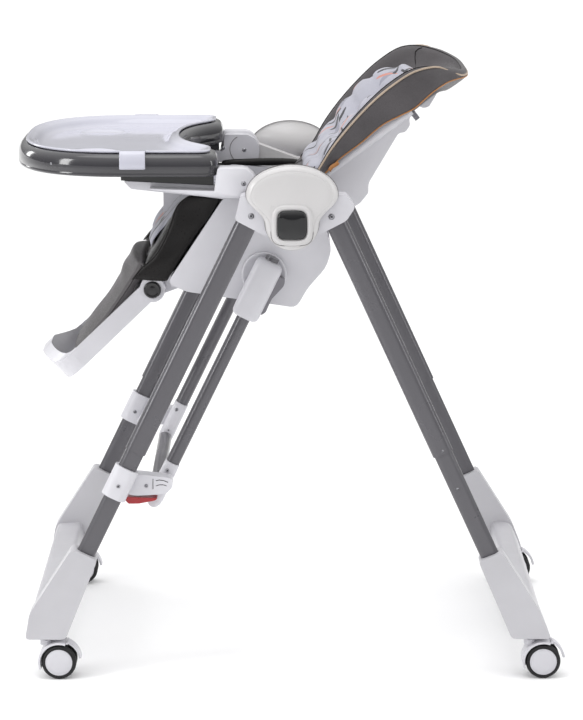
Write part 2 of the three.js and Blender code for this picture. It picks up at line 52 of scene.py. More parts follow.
HUB_Z = 700
BACK_TILT = math.radians(36.7)
FOOTREST_PIVOT = (-212.4, 574.8)
FOOTREST_TILT = math.radians(44)
HOOD_START, HOOD_DEPTH = 165, 107  # where the hood's round end starts, and its length
HOOD_POWER = 0.54  # 1 gives an ellipse, and less a squarer end
TRAY_POWER = 0.74  # the same for the tray's front
TRAY_HALF, TRAY_MIDDLE, TRAY_FRONT = 240, -230, -420
BACK_HALF = 190
STRUT_X = 205
FRONT_LEAN = math.radians(25.9)
STRUT_OFFSET = 61  # the strut's axis behind the front leg's


def at(x, y, z):
    """A point of the chair, measured from the hub axis along Y, in metres."""
    return Vector((x, y + 2.2, z)) * 0.001


def tilted(origin, angle):
    """Places points in a frame turned about X: (x, along, above)."""
    oy, oz = origin
    c, s = math.cos(angle), math.sin(angle)
    return lambda x, a, b: at(x, oy + a * c - b * s, oz + a * s + b * c)


on_back = tilted((45, 745), BACK_TILT)
on_footrest = tilted(FOOTREST_PIVOT, FOOTREST_TILT)
on_front_leg = tilted((-60.7, 710), -FRONT_LEAN)


def mix(a, b, t):
    return a + (b - a) * t


def arc(cx, cy, rx, ry, a0, a1, count):
    angles = [mix(a0, a1, k / count) for k in range(count)]
    return [(cx + rx * math.cos(a), cy + ry * math.sin(a)) for a in angles]


def bezier(p0, p1, p2, p3, count):
    made = []
    for k in range(count):
        t = k / count
        w = ((1 - t) ** 3, 3 * t * (1 - t) ** 2, 3 * t * t * (1 - t), t**3)
        made.append(tuple(sum(w[i] * p[c] for i, p in enumerate((p0, p1, p2, p3))) for c in (0, 1)))
    return made


def squared(value, power):
    """A sine or cosine drawn towards 1 (or -1), for round shapes with squarer corners."""
    return math.copysign(abs(value) ** power, value)


def smooth(t):
    t = min(1.0, max(0.0, t))
    return t * t * (3 - 2 * t)


def through(knots, x):
    """A smooth line through (x, value) knots."""
    if x <= knots[0][0]:
        return knots[0][1]
    for i in range(len(knots) - 1):
        (x0, v0), (x1, v1) = knots[i], knots[i + 1]
        if x <= x1:
            before = knots[max(i - 1, 0)]
            after = knots[min(i + 2, len(knots) - 1)]
            m0 = (v1 - before[1]) / max(x1 - before[0], 1e-6) * (x1 - x0)
            m1 = (after[1] - v0) / max(after[0] - x0, 1e-6) * (x1 - x0)
            t = (x - x0) / (x1 - x0)
            a = (2 * t**3 - 3 * t**2 + 1) * v0 + (t**3 - 2 * t**2 + t) * m0
            return a + (3 * t**2 - 2 * t**3) * v1 + (t**3 - t**2) * m1
    return knots[-1][1]


def path_point(path, t):
    """The point at place t of a smooth line through (along, height) points."""
    return Vector([through([(i, p[c]) for i, p in enumerate(path)], t) for c in (0, 1)])


# ---------------------------------------------------------------- materials


class Nodes:
    """Short names for building a material's node tree."""

    def __init__(self, name):
        self.material = bpy.data.materials.new(name)
        self.material.use_nodes = True
        self.tree = self.material.node_tree
        self.shader = self.tree.nodes["Principled BSDF"]
        coords = self.tree.nodes.new("ShaderNodeTexCoord")
        self.place = coords.outputs["Object"]

    def put(self, kind, inputs, **settings):
        node = self.tree.nodes.new(kind)
        for key, value in settings.items():
            setattr(node, key, value)
        for key, value in inputs.items():
            self.feed(node.inputs[key], value)
        return node

    def feed(self, socket, value):
        if isinstance(value, bpy.types.NodeSocket):
            self.tree.links.new(value, socket)
        else:
            socket.default_value = value

    def noise(self, scale, detail=3.0, place=None):
        inputs = {"Vector": place or self.place, "Scale": scale, "Detail": detail, "Roughness": 0.55}
        return self.put("ShaderNodeTexNoise", inputs).outputs["Fac"]

    def math(self, operation, a, b):
        return self.put("ShaderNodeMath", {0: a, 1: b}, operation=operation).outputs[0]

    def remap(self, value, a, b, c, d):
        inputs = {"Value": value, "From Min": a, "From Max": b, "To Min": c, "To Max": d}
        return self.put("ShaderNodeMapRange", inputs).outputs[0]

    def blend(self, share, a, b):
        a, b = (v if isinstance(v, bpy.types.NodeSocket) else (*v, 1) for v in (a, b))
        inputs = {"Factor": share, "A": a, "B": b}
        return self.put("ShaderNodeMix", inputs, data_type="RGBA").outputs["Result"]

    def bump(self, height, strength, distance, below=None):
        inputs = {"Strength": strength, "Distance": distance, "Height": height}
        if below:
            inputs["Normal"] = below
        return self.put("ShaderNodeBump", inputs).outputs["Normal"]

    def finish(self, colour, rough, normal=None, **fixed):
        self.feed(self.shader.inputs["Base Color"], colour)
        self.feed(self.shader.inputs["Roughness"], rough)
        if normal:
            self.feed(self.shader.inputs["Normal"], normal)
        for key, value in fixed.items():
            self.shader.inputs[key.replace("_", " ")].default_value = value
        return self.material


def shade(colour, share, lift=0.0):
    return tuple(min(1, c * share + lift) for c in colour)


def moulded(name, colour, rough, grain=0.1, speck=900, coat=0.0, tint=0.06, wear=0.05, shine=0.5):
    """Moulded plastic: faint cloudy colour, a fine texture and slightly uneven gloss."""
    n = Nodes(name)
    cloud = n.noise(9, 4)
    base = n.blend(n.remap(cloud, 0.3, 0.7, 0, 1), shade(colour, 1 - tint), shade(colour, 1 + tint * 0.6))
    edge = n.put("ShaderNodeNewGeometry", {}).outputs["Pointiness"]
    worn = n.math("MULTIPLY", n.remap(edge, 0.52, 0.6, 0, wear), n.noise(160, 3))
    base = n.blend(worn, base, shade(colour, 1.5, 0.02))
    gloss = n.remap(n.noise(45, 5), 0.3, 0.7, rough * 0.9, rough * 1.12)
    fine = n.noise(speck, 2)
    normal = n.bump(fine, grain, 0.0002, n.bump(n.noise(18, 2), 0.05, 0.0015))
    return n.finish(base, gloss, normal, Coat_Weight=coat, Coat_Roughness=0.06, Specular_IOR_Level=shine)


def leatherette(name, colour, rough=0.42, lift=1.35, shine=0.4, sheen=0.05):
    """Coated leather cloth: pebbled grain with fine pores, soft colour drift and painted shade darkening
    the grain's valleys.
    """
    n = Nodes(name)
    cells = n.put("ShaderNodeTexVoronoi", {"Vector": n.place, "Scale": 620}, feature="DISTANCE_TO_EDGE")
    pebble = cells.outputs["Distance"]
    crease = n.remap(pebble, 0.0, 0.16, 0, 1)
    drift = n.remap(n.noise(14, 4), 0.3, 0.7, 0, 1)
    base = n.blend(drift, shade(colour, 0.86), shade(colour, lift))
    # painted shade: the pebble grain's valleys are darkened towards 0.4 of the colour
    grain_valley_shade = n.math("MULTIPLY", n.math("SUBTRACT", 1.0, crease), 0.35)
    base = n.blend(grain_valley_shade, base, shade(colour, 0.4))
    gloss = n.remap(n.noise(300, 3), 0.3, 0.7, rough * 0.85, rough * 1.25)
    rolls = n.bump(n.noise(26, 3), 0.18, 0.004)
    normal = n.bump(crease, 0.22, 0.00035, n.bump(n.noise(1500, 2), 0.08, 0.0002, rolls))
    return n.finish(base, gloss, normal, Sheen_Weight=sheen, Sheen_Roughness=0.4, Specular_IOR_Level=shine)


PRINT_CLOTH = (0.36, 0.36, 0.415)


def brush_strokes(n, place, scale, spin, length, width, share, seed):
    """Scattered leaf-shaped brush strokes: one to a cell, turned by its own angle."""
    shifted = n.put("ShaderNodeVectorMath", {0: place, 1: seed}, operation="ADD").outputs[0]
    cell = n.put("ShaderNodeTexVoronoi", {"Vector": shifted, "Scale": scale}, voronoi_dimensions="2D")
    inputs = {0: shifted, 1: cell.outputs["Position"]}
    away = n.put("ShaderNodeVectorMath", inputs, operation="SUBTRACT").outputs[0]
    parts = n.put("ShaderNodeSeparateColor", {0: cell.outputs["Color"]})
    inputs = {"Vector": away, "Angle": n.remap(parts.outputs[0], 0, 1, *spin)}
    turn = n.put("ShaderNodeVectorRotate", inputs, rotation_type="Z_AXIS")
    axes = n.put("ShaderNodeSeparateXYZ", {0: turn.outputs[0]})
    rough = n.math("MULTIPLY", n.math("SUBTRACT", n.noise(420, 3, place=place), 0.5), 0.75)
    long = n.math("DIVIDE", axes.outputs[0], length)
    bowed = n.math("ADD", axes.outputs[1], n.math("MULTIPLY", n.math("POWER", long, 2.0), width * 0.9))
    across = n.math("DIVIDE", bowed, width)
    size = n.math("ADD", n.math("POWER", long, 2.0), n.math("POWER", across, 2.0))
    inside = n.math("LESS_THAN", n.math("ADD", size, rough), 1.0)
    chosen = n.math("LESS_THAN", parts.outputs[1], share)
    return n.math("MULTIPLY", inside, chosen)


def printed(name, turn):
    """White woven fabric with a generic scatter of grey, salmon and black brush strokes."""
    n = Nodes(name)
    place = n.put("ShaderNodeMapping", {"Vector": n.place, "Rotation": (-turn, 0, 0)}).outputs[0]
    drift = n.remap(n.noise(20, 3), 0.3, 0.7, 0, 1)
    base = n.blend(drift, shade(PRINT_CLOTH, 0.93), PRINT_CLOTH)
    layers = (  # cell scale, spins, length, width, share of cells, offset, ink
        (18, (0.2, 1.4), 0.022, 0.0045, 0.6, (0.3, 0.1, 0), (0.24, 0.24, 0.29)),
        (21, (0.9, 2.2), 0.017, 0.0028, 0.5, (1.7, 0.6, 0), (0.48, 0.20, 0.16)),
        (24, (0.3, 1.9), 0.019, 0.0034, 0.85, (3.1, 2.2, 0), (0.018, 0.018, 0.024)),
        (19, (-0.5, 0.9), 0.018, 0.0022, 0.75, (5.3, 4.4, 0), (0.02, 0.02, 0.026)),
    )
    for scale, spin, length, width, share, seed, ink in layers:
        base = n.blend(brush_strokes(n, place, scale, spin, length, width, share, seed), base, ink)
    thread = {"Vector": place, "Scale": 520, "Distortion": 0.6}
    warp, weft = (n.put("ShaderNodeTexWave", thread, bands_direction=way).outputs["Fac"] for way in "XY")
    weave = n.math("MULTIPLY", warp, weft)
    normal = n.bump(weave, 0.25, 0.0003, n.bump(n.noise(60, 3), 0.22, 0.003))
    return n.finish(base, n.remap(weave, 0, 1, 0.7, 0.9), normal, Sheen_Weight=0.25, Sheen_Roughness=0.5)


def coated_metal(name, colour):
    """Satin powder coat: a fine orange peel over metal."""
    n = Nodes(name)
    fleck = n.noise(2600, 1)
    base = n.blend(n.remap(fleck, 0.35, 0.65, 0, 1), shade(colour, 0.85), shade(colour, 1.15))
    streak = n.remap(n.noise(12, 4), 0.3, 0.7, 0.26, 0.36)
    normal = n.bump(n.noise(700, 3), 0.09, 0.0003)
    return n.finish(base, streak, normal, Metallic=0.3, Coat_Weight=0.3, Coat_Roughness=0.12)


WHITE = moulded("white_plastic", (0.585, 0.58, 0.615), 0.36, coat=0.08)
# painted shade: the feet get a darker copy of the white plastic, holding down the light they catch from the
# bright floor
SHADED_FOOT_WHITE = moulded("foot_plastic_shaded", (0.475, 0.47, 0.495), 0.38)
WARM_WHITE = moulded("white_cap_plastic", (0.53, 0.52, 0.522), 0.3, grain=0.05, coat=0.15)
LEG = coated_metal("leg_paint", (0.092, 0.089, 0.099))
DARK_LEATHER = leatherette("dark_leatherette", (0.0075, 0.0066, 0.0066), 0.30, 1.5, 0.2, 0.0)
GREY_LEATHER = leatherette("grey_leatherette", (0.068, 0.062, 0.066), 0.42, 1.25, 0.35)
BACK_PRINT = printed("printed_back", BACK_TILT)
SEAT_PRINT = printed("printed_seat", math.radians(-18))
BLACK = moulded("gloss_black", (0.006, 0.006, 0.007), 0.1, grain=0.02, coat=0.3, wear=0.0, shine=0.4)
TRAY_GREY = moulded("tray_grey", (0.030, 0.029, 0.034), 0.14, grain=0.02, coat=0.4, wear=0.0)
TRAY_WHITE = moulded("tray_white", (0.48, 0.48, 0.55), 0.12, grain=0.02, coat=0.4, wear=0.0)
TRIGGER = moulded("trigger_grey", (0.17, 0.165, 0.185), 0.42)
RED = moulded("red_plastic", (0.34, 0.004, 0.009), 0.3, coat=0.2)
TYRE = moulded("tyre_rubber", (0.010, 0.010, 0.011), 0.5, grain=0.3, speck=500, wear=0.2, shine=0.3)
PIPING = leatherette("piping", (0.44, 0.35, 0.27), 0.5, 1.1)
TAN = leatherette("tan_piping", (0.40, 0.17, 0.05), 0.5, 1.1)
THREAD = leatherette("thread", (0.012, 0.011, 0.012), 0.6, 1.1, 0.2)
SCREW = moulded("screw_steel", (0.30, 0.30, 0.32), 0.28, grain=0.05, wear=0.0)
SCREW.node_tree.nodes["Principled BSDF"].inputs["Metallic"].default_value = 0.9
# painted shade: a dark grey for the thin cords that stand in for the shadows in gaps between parts
PAINTED_GAP_SHADE = moulded("seam_shadow", (0.16, 0.15, 0.15), 0.6, shine=0.2)
# painted shade: near black for the insides of the screw slots and the link's grooves
SLOT_SHADE = moulded("screw_slot_shade", (0.010, 0.010, 0.011), 0.6, shine=0.2)

# ---------------------------------------------------------------- mesh building


def new_object(name, data):
    made = bpy.data.objects.new(name, data)
    bpy.context.scene.collection.objects.link(made)
    return made


def finer(obj):
    modifier = obj.modifiers.new("subdivide", "SUBSURF")
    modifier.levels = modifier.render_levels = 1


def reworked(obj, change):
    """Runs a change on the mesh in edit form."""
    work = bmesh.new()
    work.from_mesh(obj.data)
    change(work)
    work.to_mesh(obj.data)
    work.free()


def rounded(mesh):
    for polygon in mesh.polygons:
        polygon.use_smooth = True


def painted(obj, material):
    obj.data.materials.clear()
    obj.data.materials.append(material)


def piece(name, points, faces, material, body=None, slot=None, subdivide=0, replaces=()):
    """A smooth mesh object, riding on a body."""
    mesh = bpy.data.meshes.new(name)
    mesh.from_pydata([tuple(p) for p in points], [], faces)
    mesh.validate()
    rounded(mesh)
    made = new_object(name, mesh)
    painted(made, material)
    reworked(made, lambda work: bmesh.ops.recalc_face_normals(work, faces=work.faces))
    if subdivide:
        finer(made)
    if body:
        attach(made, body)
    if replaces:
        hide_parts(*replaces)
    return made


def loft(rings, closed=True, capped=True, looped=False):
    """Points and faces of a surface through rings of equal length."""
    count = len(rings[0])
    points = [p for ring in rings for p in ring]
    faces = []
    for r in range(len(rings) if looped else len(rings) - 1):
        low, high = r * count, (r + 1) % len(rings) * count
        for i in range(count if closed else count - 1):
            j = (i + 1) % count
            faces.append((low + i, low + j, high + j, high + i))
    if capped and not looped:
        faces.append(tuple(range(count)))
        faces.append(tuple(range((len(rings) - 1) * count, len(rings) * count)))
    return points, faces


def circle(centre, side, up, radius, sides):
    angles = [2 * math.pi * k / sides for k in range(sides)]
    return [centre + (side * math.cos(a) + up * math.sin(a)) * radius for a in angles]


def tube(path, radius, sides=8, looped=False):
    """A round cord through the given points."""
    rings = []
    last = len(path) - 1
    side = None
    for i, p in enumerate(path):
        before = path[i - 1] if i or looped else p
        after = path[(i + 1) % len(path)] if i < last or looped else p
        along = (after - before).normalized()
        if side is None:
            side = along.orthogonal().normalized()
        side = (side - along * side.dot(along)).normalized()
        rings.append(circle(p, side, along.cross(side), radius, sides))
    return loft(rings, looped=looped)


def turned(profile, centre, axis, sides=40, looped=False):
    """A lathe shape: (radius, distance along the axis) pairs about an axis, in millimetres."""
    axis = Vector(axis).normalized()
    side = axis.orthogonal().normalized()
    up = axis.cross(side)
    profile = [(radius * 0.001, along * 0.001) for radius, along in profile]
    rings = [circle(centre + axis * along, side, up, radius, sides) for radius, along in profile]
    return loft(rings, looped=looped)


def joined(*parts):
    points, faces = [], []
    for more_points, more_faces in parts:
        start = len(points)
        points.extend(more_points)
        faces.extend(tuple(start + i for i in face) for face in more_faces)
    return points, faces


def dress(node, material, bevel=1.2, segments=3, angle=38):
    """A CAD node keeps its shape, with rounded edges and its finish."""
    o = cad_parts[node]
    painted(o, material)
    custom = o.data.attributes.get("custom_normal")
    if custom:
        o.data.attributes.remove(custom)
    rounded(o.data)
    weld = o.modifiers.new("weld", "WELD")
    weld.merge_threshold = 0.00002
    edge = o.modifiers.new("bevel", "BEVEL")
    edge.width = bevel * 0.001
    edge.segments = segments
    edge.limit_method = "ANGLE"
    edge.angle_limit = math.radians(angle)
    edge.use_clamp_overlap = True
    even = o.modifiers.new("normals", "WEIGHTED_NORMAL")
    even.mode = "FACE_AREA"
    even.weight = 80


# ---------------------------------------------------------------- CAD nodes that stay

for node, material, bevel in (
    ("seat_tub", WHITE, 2.5),
    ("crotch_post", WHITE, 3),
    ("front_feet", SHADED_FOOT_WHITE, 7),
    ("rear_feet", SHADED_FOOT_WHITE, 6),
    ("back_shell", WHITE, 3),
    ("recline_handle", WHITE, 2.5),
    ("footrest_panel", WHITE, 1.6),
    ("strut_cross_tube", LEG, 0.6),
    ("fold_lock_lever", RED, 1.2),
):
    dress(node, material, bevel)
for side, _ in SIDES:
    dress(f"hub_{side}", WARM_WHITE, 1.8)
    dress(f"arm_{side}", WHITE, 2.2)
    dress(f"tray_runner_{side}", BLACK, 1)
    dress(f"collar_link_{side}", WHITE, 1.8)
    dress(f"strut_tube_{side}", LEG, 0.6)
    dress(f"strut_trigger_{side}", TRIGGER, 1.5)
    for end in ENDS:
        dress(f"{end}_bracket_{side}", WHITE, 2)
        dress(f"{end}_upper_tube_{side}", LEG, 0.5)
        dress(f"{end}_lower_tube_{side}", LEG, 0.5)
        dress(f"caster_fork_{end}_{side}", WHITE, 1)
        dress(f"brake_lever_{end}_{side}", WHITE, 0.8)

# ---------------------------------------------------------------- wheels, buttons, screws


def wheel_set(end, side):
    """Twin wheels on an axle. The profiles are (radius, distance from the middle) pairs."""
    node = f"caster_wheels_{end}_{side}"
    low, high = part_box(node)
    centre = (low + high) / 2
    r = (high.z - low.z) * 500
    half = (high.x - low.x) * 500
    across = (1, 0, 0)
    tyre = [
        (20.7, 7.2), (r - 2.5, 7.2), (r - 0.6, 8.4), (r, 10.2), (r, half - 5.2), (r - 0.9, half - 2.6),
        (r - 2.6, half - 0.9), (r - 4.4, half - 0.4), (20.7, half - 1.1),
    ]
    disc = [
        (0.3, 7), (20.6, 7), (20.6, half - 1.5), (20.0, half - 0.7), (18.9, half - 0.6),
        (18.5, half - 0.9), (18, half - 0.5), (12, half - 0.2), (0.3, half),
    ]
    tyres = [turned([(a, b * s) for a, b in tyre], centre, across, 56, looped=True) for s in (-1, 1)]
    discs = [turned([(a, b * s) for a, b in disc], centre, across, 48) for s in (-1, 1)]
    body = f"wheels_{end}_{side}"
    piece(f"tyres_{end}_{side}", *joined(*tyres), TYRE, body, "caster_tyre", replaces=[node])
    piece(f"wheel_hubs_{end}_{side}", *joined(*discs), WHITE, body, "white_plastic")
    axle = turned([(2.5, 2 - half), (2.5, half - 2)], centre, across, 20)
    piece(f"wheel_axle_{end}_{side}", *axle, SCREW, body)


for end in ENDS:
    for side, _ in SIDES:
        wheel_set(end, side)


def outer(node, s):
    """How far a node reaches along X on one side, in millimetres."""
    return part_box(node)[1 if s > 0 else 0].x * 1000


def rounded_square(half, corner, count=12):
    """Points (a, b) round a square with elliptical corners and slightly bowed sides."""
    angles = [2 * math.pi * (k + 0.5) / (4 * count) for k in range(4 * count)]
    return [tuple(half * squared(f(a), 2 / corner) for f in (math.cos, math.sin)) for a in angles]


def cap_outline(inset):
    """The hub cap's outline, (along, height): a round end below and a wide dome above."""
    low, wide = 39 - inset, 67 - inset
    ring = arc(0, HUB_Z, low, low, math.pi, 2 * math.pi, 26)
    ring += bezier((low, HUB_Z), (low + 3, HUB_Z + 18), (wide, 726), (wide, 742), 14)
    ring += arc(0, 742, wide, 44 - inset, 0, math.pi, 40)
    return ring + bezier((-wide, 742), (-wide, 726), (-low - 3, HUB_Z + 18), (-low, HUB_Z), 14)


def hub_face(side, s):
    """The cap's domed skin, a dark cord of painted shade round its gap, the glossy button and the button's
    bezel with a painted shade cord round it.
    """
    skin = [  # inset from the outline, distance from the middle
        (-0.35, 270.4), (-0.35, 279.2), (0.2, 281.2), (1.2, 282.9), (2.8, 284.5), (4.6, 285.9),
        (6.4, 287.2), (8.6, 288.4), (12, 289.3), (17, 289.9), (24, 290.3), (30, 290.5),
    ]
    rings = [[at(s * x, y, z) for y, z in cap_outline(inset)] for inset, x in skin]
    piece(f"hub_cap_skin_{side}", *loft(rings), WARM_WHITE, "seat", "white_plastic")
    # painted shade: a thin dark cord stands in for the shadow in the gap round the cap
    gap = [at(s * 270, y, z) for y, z in cap_outline(-0.9)]
    piece(f"hub_cap_gap_shade_{side}", *tube(gap, 0.0004, 6, looped=True), PAINTED_GAP_SHADE, "seat")
    face = outer(f"hub_{side}", s) * s

    def square(half, corner, out, count=12):
        return [at(s * out, y, HUB_Z + z) for y, z in rounded_square(half, corner, count)]

    dome = [(21.8, -7), (21.9, -1.5), (21.2, 0.6), (19.5, 2.0), (15, 3.1), (9, 3.8), (4, 4.0), (0.5, 4.05)]
    rings = [square(half, 4.2, face + out) for half, out in dome]
    button = f"hub_button_{side}"
    piece(f"glossy_button_{side}", *loft(rings), BLACK, button, "gloss_black", replaces=[button])
    trim = [(23.1, -3), (23.1, 0.4), (24.2, 1.3), (26.6, 1.5), (28.6, 0.6), (29.6, -1.2), (30.4, -3.4)]
    rings = [square(half, 4.0, face + out, 14) for half, out in trim]
    piece(f"button_bezel_{side}", *loft(rings, capped=False), WARM_WHITE, "seat", "white_plastic")
    # painted shade: a thin dark cord stands in for the shadow round the bezel
    gap_shade_line = square(31.4, 3.9, face - 4.4, 14)
    piece(f"bezel_gap_shade_{side}", *tube(gap_shade_line, 0.0004, 6, looped=True), PAINTED_GAP_SHADE, "seat")


for side, s in SIDES:
    hub_face(side, s)


def screw(name, place, direction, body, radius):
    """A pan-head screw with a crossed slot, its shade painted in near black."""
    direction = Vector(direction).normalized()
    head = [(1.28, -0.6), (1.28, 0.15), (1.02, 0.2), (1, 0.9), (0.8, 1.6), (0.45, 2.05)]
    profile = [(radius * a, b) for a, b in head] + [(0.2, 2.2)]
    piece(name, *turned(profile, place, direction, 28), SCREW, body)
    side = direction.orthogonal().normalized()
    up = direction.cross(side)
    # painted shade: near-black inserts in the cross stand in for the shade inside the slot
    cross = []
    for a, b in ((side, up), (up, side)):
        for end in (-1, 1):
            ring0, ring1 = [], []
            for u, v in ((0, -0.28), (0.62, -0.2), (0.62, 0.2), (0, 0.28)):
                p = place + (a * u * end * radius + b * v * end * radius * 0.6) * 0.001
                ring0.append(p + direction * 0.0012)
                ring1.append(p + direction * (0.00235 - 0.0005 * u))
            cross.append(loft([ring0, ring1]))
    piece(f"{name}_slot", *joined(*cross), SLOT_SHADE, body)


ARM_END = [  # (along, height) round the arm's thick end
    (-51, 737), (-50, 745), (-51, 753), (-54, 761), (-59, 769), (-66, 775), (-74, 777), (-107, 777),
    (-110, 774), (-112, 762), (-115, 742), (-210, 745.3), (-209, 744.4), (-131, 735.6), (-102, 732.3),
    (-70, 731.4), (-58, 732),
]
LINK_GROOVES = (  # (across, along) the front leg
    ((47.7, -427.3), (52, -424.2), (58, -422.3), (65.2, -421.8)),
    ((51.2, -434.8), (55, -431), (60, -428.6), (65.6, -427.8)),
    ((42.4, -426.8), (45.8, -434), (49.2, -441.2)),
)


def arm_end(side, s):
    middle = Vector((-84, 750))
    rings = []
    for x, grow in ((208.4, 1), (235.6, 1), (237.0, 0.985), (237.6, 0.96)):
        rings.append([at(s * x, *middle.lerp(Vector(p), grow)) for p in ARM_END])
    piece(f"arm_end_{side}", *loft(rings), WHITE, "arms", "white_plastic")
    # painted shade: a thin dark cord along the arm's disc stands in for the shadow at its edge
    gap_shade_line = []
    for k in range(21):
        a = math.radians(118 + 6 * k)
        gap_shade_line.append(at(s * 191.9, -75.5 + 23 * math.cos(a), 749 + 23 * math.sin(a)))
    piece(f"arm_disc_gap_shade_{side}", *tube(gap_shade_line, 0.0006, 6), PAINTED_GAP_SHADE, "arms")


for side, s in SIDES:
    arm_end(side, s)
    faced = ("front_bracket", "rear_bracket", "rear_upper_tube", "rear_lower_tube")
    edge = {node: outer(f"{node}_{side}", s) for node in faced}
    for name, place, way, body, radius in (
        ("bracket_screw_front", at(edge["front_bracket"], -60, 710), s, "front_upper", 3.6),
        ("bracket_screw_rear", at(edge["rear_bracket"], 58, 709), s, "rear_upper", 3.6),
        ("arm_screw", at(s * 237.6, -71.3, 753.7), s, "arms", 3),
        ("housing_screw", on_front_leg(s * 218.6, 69.5, -121), s, "strut_housings", 2.6),
        ("collar_screw", at(s * 268.8, -260.2, 301.6), s, "front_lower", 3),
        ("arm_inner_screw", at(s * 192, -110, 751), -s, "arms", 2.6),
        ("arm_pivot_screw", at(s * 192, -75, 748), -s, "arms", 2.6),
        ("rear_leg_rivet", at(edge["rear_upper_tube"], 225.6, 354), s, "rear_upper", 1.5),
        ("rear_leg_stop", at(edge["rear_lower_tube"], 248.5, 294.8), s, "rear_lower", 1.7),
        ("link_screw", on_front_leg(s * 247.2, 38, -441), s, "front_lower", 2.2),
        ("fitting_screw", on_front_leg(s * 219.2, 58.6, -412), s, "strut_frame", 2.6),
        ("fitting_inner_screw", on_front_leg(s * 190.8, 57.5, -411.5), -s, "strut_frame", 2.6),
        ("fitting_pin", on_front_leg(s * 190.6, 60, -448.6), -s, "strut_frame", 1.3),
        ("collar_inner_screw", on_front_leg(s * 241.2, -0.7, -456.5), -s, "front_lower", 3),
    ):
        screw(f"{name}_{side}", place, (way, 0, 0), body, radius)
    # painted shade: thin near-black cords stand in for the shade in the link's grooves
    grooves = [[on_front_leg(s * 247.1, *mark) for mark in marks] for marks in LINK_GROOVES]
    grooves = [tube(groove, 0.0005, 6) for groove in grooves]
    piece(f"link_groove_shade_{side}", *joined(*grooves), SLOT_SHADE, "front_lower")

# ---------------------------------------------------------------- struts


STRUT_SLEEVE = [
    (-151.4, 14, 10.8), (-151, 16, 12.4), (-149, 19, 13.8), (-146, 20.6, 14.6), (-140, 21.2, 15),
    (-100, 21.4, 15.2), (-75, 21.4, 15.2), (-66, 21, 15), (-61, 19.6, 14.2), (-58, 16, 12.6),
    (-56.4, 11, 9.6), (-56, 6, 6),
]
STRUT_FOOT = [
    (-399.9, 9.6, 12.6), (-399.7, 10.6, 13.6), (-400.6, 11.4, 14.2), (-410, 11.6, 14.5),
    (-440, 11.8, 14.5), (-452, 12.2, 14.5), (-460, 12.2, 14.4), (-467, 11.2, 14), (-472, 8.6, 13),
    (-475, 5, 11), (-476, 2, 8),
]
HOUSING_DISC = [
    (33.6, 188.6), (34, 189), (34, 193), (33.4, 193.8), (32, 194.2), (30, 194), (29, 193.4), (1, 193.2),
]


def strut_shell(side, s, kind, body, centre, marks):
    """A rounded sleeve round the strut's axis: (height, half depth, half width) marks."""
    ring = rounded_square(1, 2.9)
    rings = []
    for t, deep, wide in marks:
        rings.append([on_front_leg(s * (centre + wide * b), STRUT_OFFSET + deep * a, t) for a, b in ring])
    name = f"strut_{kind}"
    piece(f"{name}_cover_{side}", *loft(rings), WHITE, body, "white_plastic", replaces=[f"{name}_{side}"])


for side, s in SIDES:
    strut_shell(side, s, "housing", "strut_housings", STRUT_X + 1.6, STRUT_SLEEVE)
    centre = on_front_leg(0, STRUT_OFFSET, -81.5)
    disc = turned([(r, s * x) for r, x in HOUSING_DISC], centre, (1, 0, 0), 56)
    piece(f"housing_disc_{side}", *disc, WHITE, "strut_housings", "white_plastic")
    strut_shell(side, s, "fitting", "strut_frame", STRUT_X, STRUT_FOOT)

# ---------------------------------------------------------------- tray


def tray_outline(inset):
    """The tray's plan, with the cut-out for the belly at the rear."""
    half, rear = TRAY_HALF - inset, -109 - inset
    belly, lobe, corner = -162 - inset, 150 + inset * 0.5, 28 - inset * 0.5
    side = half - corner
    right = [(half, mix(TRAY_MIDDLE, rear - corner, k / 6)) for k in range(6)]
    near = corner * 0.33
    right += bezier((half, rear - corner), (half, rear - near), (half - near, rear), (side, rear), 8)
    right += [(mix(side, lobe + 26, k / 3), rear) for k in range(3)]
    right += bezier((lobe + 26, rear), (lobe - 14, rear), (lobe - 22, belly), (0, belly), 34) + [(0, belly)]
    left = [(-x, y) for x, y in reversed(right[:-1])]
    depth = TRAY_MIDDLE - TRAY_FRONT - inset
    front = []
    for k in range(72):
        c, d = math.cos(math.pi * (1 + k / 72)), math.sin(math.pi * k / 72)
        front.append((half * squared(c, TRAY_POWER), TRAY_MIDDLE - depth * squared(d, TRAY_POWER)))
    return right + left[:-1] + front


def tray_rings(profile):
    """Rings round the tray at (inset, height) pairs."""
    return [[at(x, y, z) for x, y in tray_outline(inset)] for inset, z in profile]


TRAY_RIM = [
    (60, 763.6), (22, 763.2), (8, 763), (2.4, 763.6), (0.6, 765.2), (0, 768), (0.5, 768.5), (0.5, 769.5),
    (0, 770), (0, 779), (0.8, 785.5), (2.8, 790.6), (5.8, 794.2), (9.4, 796.3), (12.2, 796.8), (14, 796),
    (17, 795.8), (18.2, 795), (18.2, 769), (20, 767.4), (60, 767.2),
]
TRAY_LIP = [
    (26, 782.4), (25, 784.5), (24.4, 794), (20, 797.2), (13.4, 797.4), (12.2, 798.2), (11.6, 799.6),
    (12.4, 801), (14.4, 801.4), (16.6, 800.8), (18.4, 799.4), (22, 798.2), (25.5, 796.6), (28.6, 792.5),
    (32.5, 788.4), (38, 786.3), (46, 785.7),
]
CUPS = ((118, -300, 34), (-118, -300, 34))  # centre and radius
piece("tray_rim", *loft(tray_rings(TRAY_RIM)), TRAY_GREY, "tray", "tray_grey", replaces=["tray_base"])


